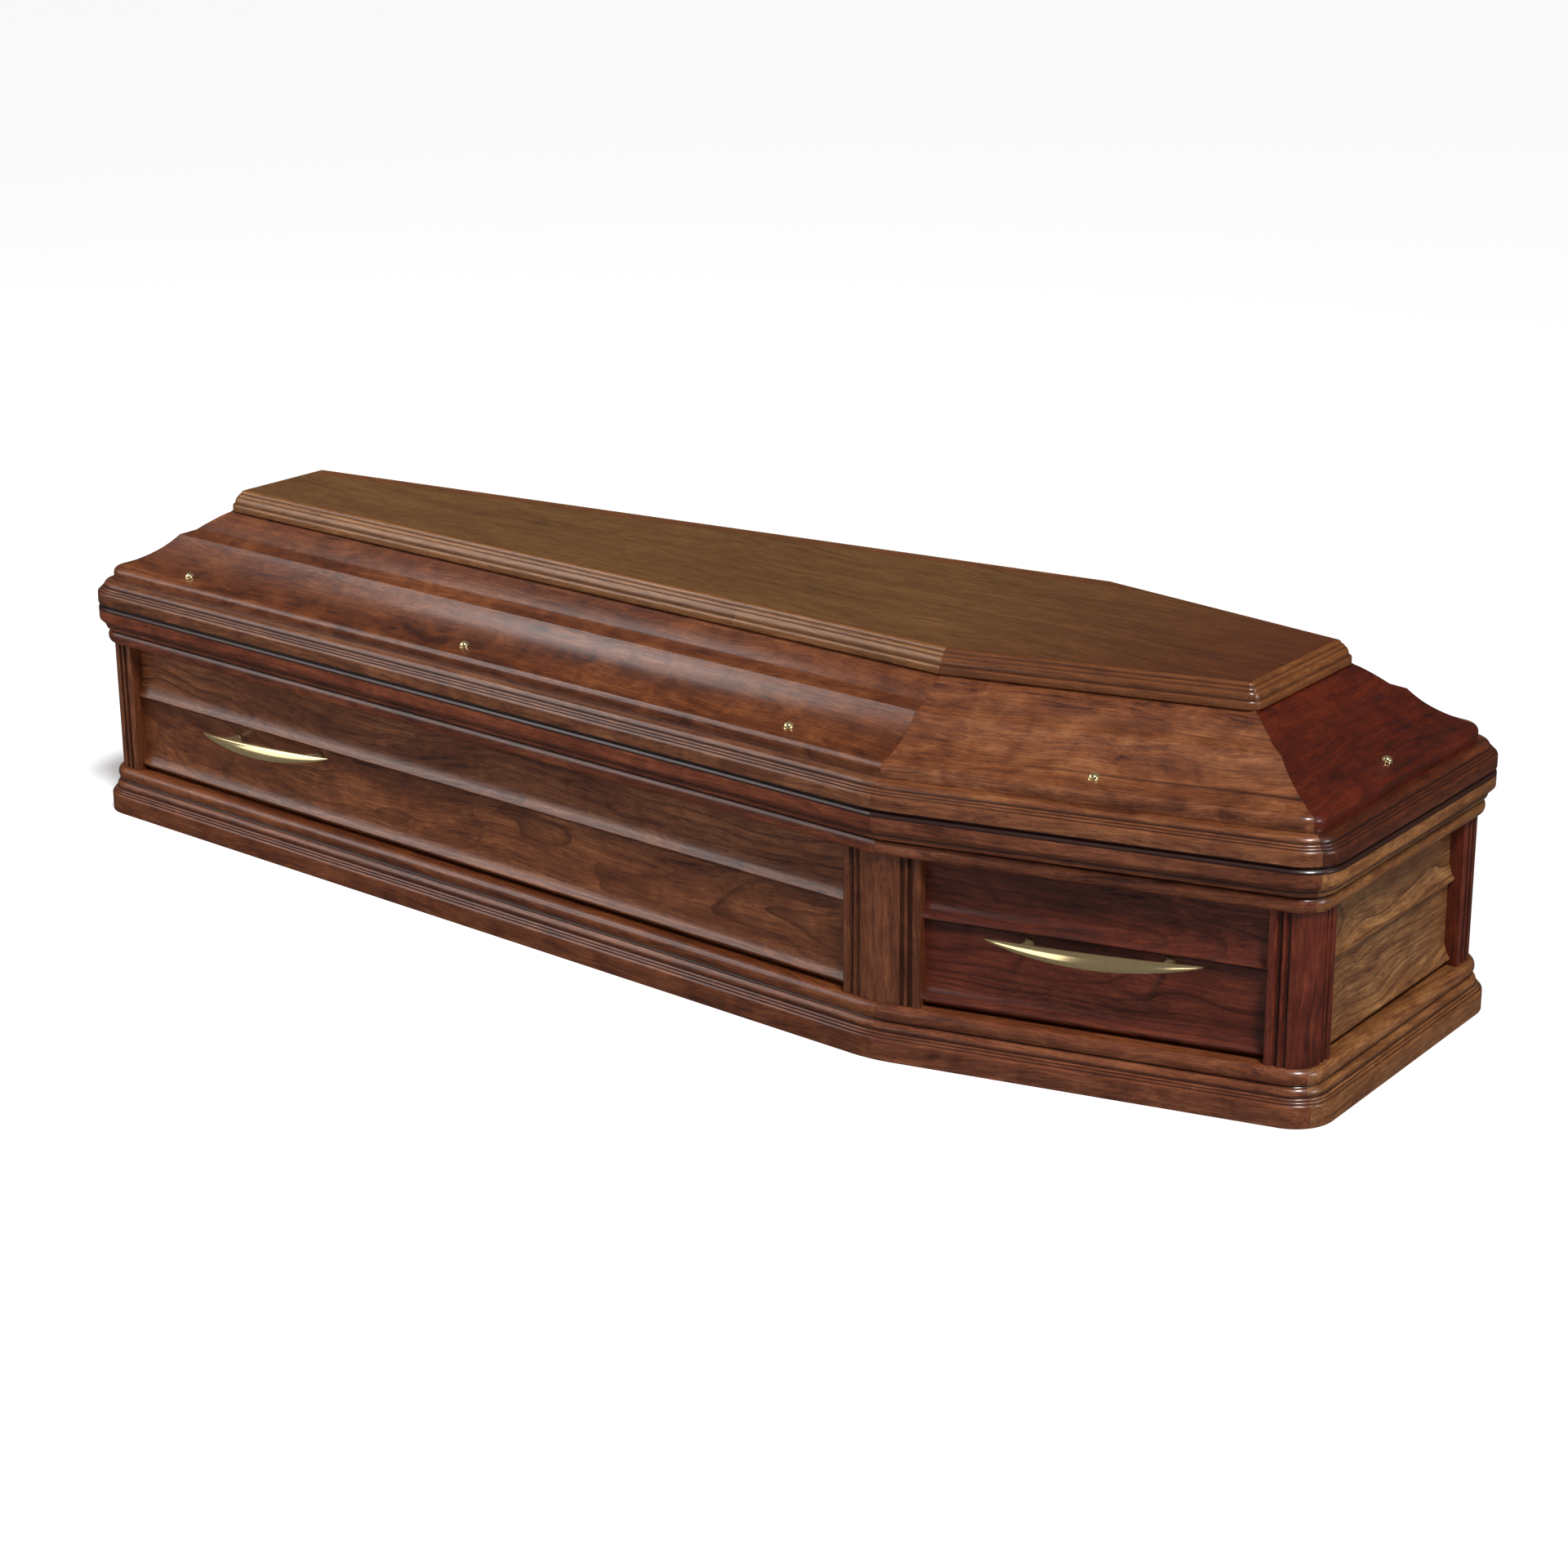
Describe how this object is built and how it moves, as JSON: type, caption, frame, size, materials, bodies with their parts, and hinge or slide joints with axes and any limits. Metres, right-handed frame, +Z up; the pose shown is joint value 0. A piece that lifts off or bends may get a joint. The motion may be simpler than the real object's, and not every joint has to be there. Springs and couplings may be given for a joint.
{
  "type": "coffin",
  "caption": "Shouldered wooden coffin with a reeded plinth and rim, recessed side panels, reeded corner posts, a stepped raised lid, brass bow handles and domed studs.",
  "frame": {"origin": "middle of the underside, on the floor", "axes": "+X along the length to the head end, +Y to the body's right side, +Z up"},
  "size_m": [2, 0.71, 0.4729],
  "materials": {
    "frame_wood": "gloss lacquered reddish walnut",
    "panel_wood": "gloss lacquered reddish walnut",
    "slope_wood": "gloss lacquered reddish walnut",
    "top_wood": "gloss lacquered olive brown walnut",
    "inner_wood": "bare planed wood",
    "brass": "polished"
  },
  "bodies": {
    "root": {"floor": "inner_wood", "handle_left_long": "brass", "handle_left_short": "brass", "handle_right_long": "brass", "handle_right_short": "brass", "lid_frame_foot": "frame_wood", "lid_frame_head": "frame_wood", "lid_frame_left_long": "frame_wood", "lid_frame_left_short": "frame_wood", "lid_frame_right_long": "frame_wood", "lid_frame_right_short": "frame_wood", "panel_foot": "panel_wood", "panel_head": "panel_wood", "panel_left_long": "panel_wood", "panel_left_short": "panel_wood", "panel_right_long": "panel_wood", "panel_right_short": "panel_wood", "plate_edge_foot": "top_wood", "plate_edge_head": "top_wood", "plate_edge_left_long_foot": "top_wood", "plate_edge_left_long_head": "top_wood", "plate_edge_left_short": "top_wood", "plate_edge_right_long": "top_wood", "plate_edge_right_short": "top_wood", "plinth_foot": "frame_wood", "plinth_head": "frame_wood", "plinth_left_long": "frame_wood", "plinth_left_short": "frame_wood", "plinth_right_long": "frame_wood", "plinth_right_short": "frame_wood", "post_foot_left": "frame_wood", "post_foot_right": "frame_wood", "post_head_left": "frame_wood", "post_head_right": "frame_wood", "post_shoulder_left": "frame_wood", "post_shoulder_right": "frame_wood", "rim_foot": "frame_wood", "rim_head": "frame_wood", "rim_left_long": "frame_wood", "rim_left_short": "frame_wood", "rim_right_long": "frame_wood", "rim_right_short": "frame_wood", "slope_foot": "slope_wood", "slope_head": "slope_wood", "slope_left_long": "slope_wood", "slope_left_short": "slope_wood", "slope_right_long": "slope_wood", "slope_right_short": "slope_wood", "stud_foot": "brass", "stud_head": "brass", "stud_left_long_foot": "brass", "stud_left_long_middle": "brass", "stud_left_long_shoulder": "brass", "stud_left_short": "brass", "stud_right_long_foot": "brass", "stud_right_long_middle": "brass", "stud_right_long_shoulder": "brass", "stud_right_short": "brass", "top_board": "top_wood"}
  },
  "joints": []
}
